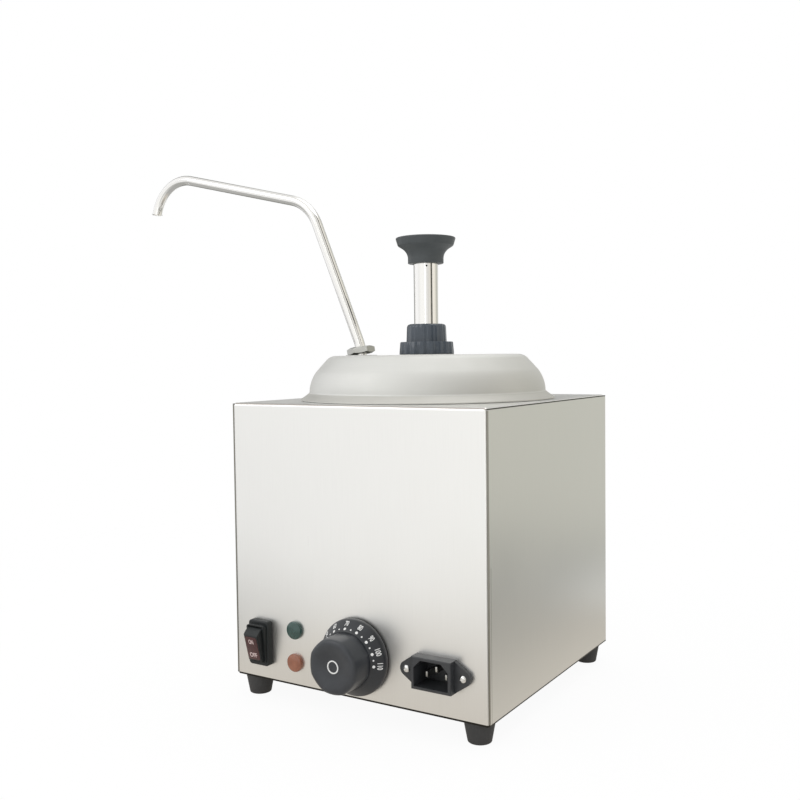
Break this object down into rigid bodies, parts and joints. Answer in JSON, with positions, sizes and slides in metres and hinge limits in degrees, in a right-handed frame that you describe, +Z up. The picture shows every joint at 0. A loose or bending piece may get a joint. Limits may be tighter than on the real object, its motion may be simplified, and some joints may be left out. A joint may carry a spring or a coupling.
{
  "type": "topping warmer",
  "caption": "Square steel warmer with a water bath, lift-out pot, domed lid, plunger pump, long bent spout, thermostat dial, rocker switch, pilot lamps and mains inlet.",
  "frame": {"origin": "on the table, below the axis of the pump and the centre of the square casing", "axes": "+Z up, the control panel faces -Y, the spout reaches out towards -X"},
  "size_m": [0.378, 0.2296, 0.396],
  "materials": {
    "casing_steel": "brushed satin",
    "lid_steel": "spun and lightly polished",
    "tube_steel": "polished",
    "plated_steel": "bright plated",
    "zinc_steel": "zinc plated",
    "heater_sheath": "matt sheath",
    "brass": "machined",
    "black_rubber": "matt",
    "clear_seal": "matt",
    "collar_plastic": "satin moulded",
    "knob_plastic": "gloss moulded",
    "dial_plastic": "gloss moulded",
    "switch_plastic": "gloss moulded",
    "rocker_red": "gloss, translucent",
    "lens_green": "gloss, translucent",
    "lens_red": "gloss, translucent",
    "pump_plastic": "food-grade moulded",
    "inner_plastic": "moulded"
  },
  "bodies": {
    "casing": {"back_screws": "zinc_steel", "base_plate": "casing_steel", "bulb_clips": "zinc_steel", "casing_wrap": "casing_steel", "cutout_nuts": "zinc_steel", "earth_nut": "zinc_steel", "earth_stud": "zinc_steel", "foot_nuts": "zinc_steel", "foot_screws": "zinc_steel", "green_lamp_lens": "lens_green", "heater_nuts": "brass", "heater_washers": "zinc_steel", "heating_element": "heater_sheath", "inlet_body": "switch_plastic", "inlet_nuts": "zinc_steel", "inlet_pins": "plated_steel", "inlet_screws": "plated_steel", "lamp_bodies": "inner_plastic", "lamp_clips": "zinc_steel", "left_side_panel": "casing_steel", "red_lamp_lens": "lens_red", "right_side_panel": "casing_steel", "rubber_feet": "black_rubber", "switch_hood": "switch_plastic", "switch_housing": "switch_plastic", "switch_terminals": "brass", "thermal_cutout": "inner_plastic", "thermostat_body": "inner_plastic", "thermostat_capillary": "brass", "thermostat_screws": "zinc_steel", "water_tank": "lid_steel"},
    "pot": {"product_pot": "lid_steel"},
    "lid": {"lid": "lid_steel", "collar_gasket": "clear_seal", "collar_nut": "collar_plastic", "pump_cylinder": "tube_steel", "valve_body": "pump_plastic", "ball_cage": "tube_steel", "outlet_elbow": "tube_steel", "union_nut": "tube_steel", "spout_tube": "tube_steel", "spout_nut": "tube_steel", "spout_washer": "tube_steel", "return_spring": "tube_steel"},
    "plunger": {"plunger_tube": "tube_steel", "plunger_knob": "knob_plastic", "piston": "pump_plastic", "piston_pin": "tube_steel", "piston_seals": "clear_seal"},
    "inlet_valve_ball": {"inlet_ball": "tube_steel"},
    "outlet_valve_ball": {"outlet_ball": "tube_steel"},
    "dial": {"dial_skirt": "dial_plastic", "dial_knob": "dial_plastic", "thermostat_spindle": "plated_steel"},
    "rocker": {"rocker_paddle": "switch_plastic", "rocker_face": "rocker_red"}
  },
  "joints": [
    {"name": "pot_lift", "type": "slide", "parent": "casing", "child": "pot", "axis": [0, 0, 1], "range_m": [0, 0.13]},
    {"name": "lid_lift", "type": "slide", "parent": "pot", "child": "lid", "axis": [0, 0, 1], "range_m": [0, 0.13]},
    {"name": "plunger_stroke", "type": "slide", "parent": "lid", "child": "plunger", "axis": [0, 0, 1], "range_m": [-0.04, 0], "stiffness_N_per_m": 300, "springref_m": 0.02, "deforming": ["return_spring"]},
    {"name": "inlet_ball_lift", "type": "slide", "parent": "lid", "child": "inlet_valve_ball", "axis": [0, 0, 1], "range_m": [0, 0.0025]},
    {"name": "outlet_ball_lift", "type": "slide", "parent": "lid", "child": "outlet_valve_ball", "axis": [-0.1564, 0, 0.9877], "range_m": [0, 0.0025]},
    {"name": "dial_turn", "type": "hinge", "parent": "casing", "child": "dial", "pos_m": [0.0034, -0.1, 0.0425], "axis": [0, -1, 0], "range_deg": [-165, 90]},
    {"name": "switch_rock", "type": "hinge", "parent": "casing", "child": "rocker", "pos_m": [-0.0758, -0.1034, 0.0403], "axis": [1, 0, 0], "range_deg": [-30, 0]}
  ]
}
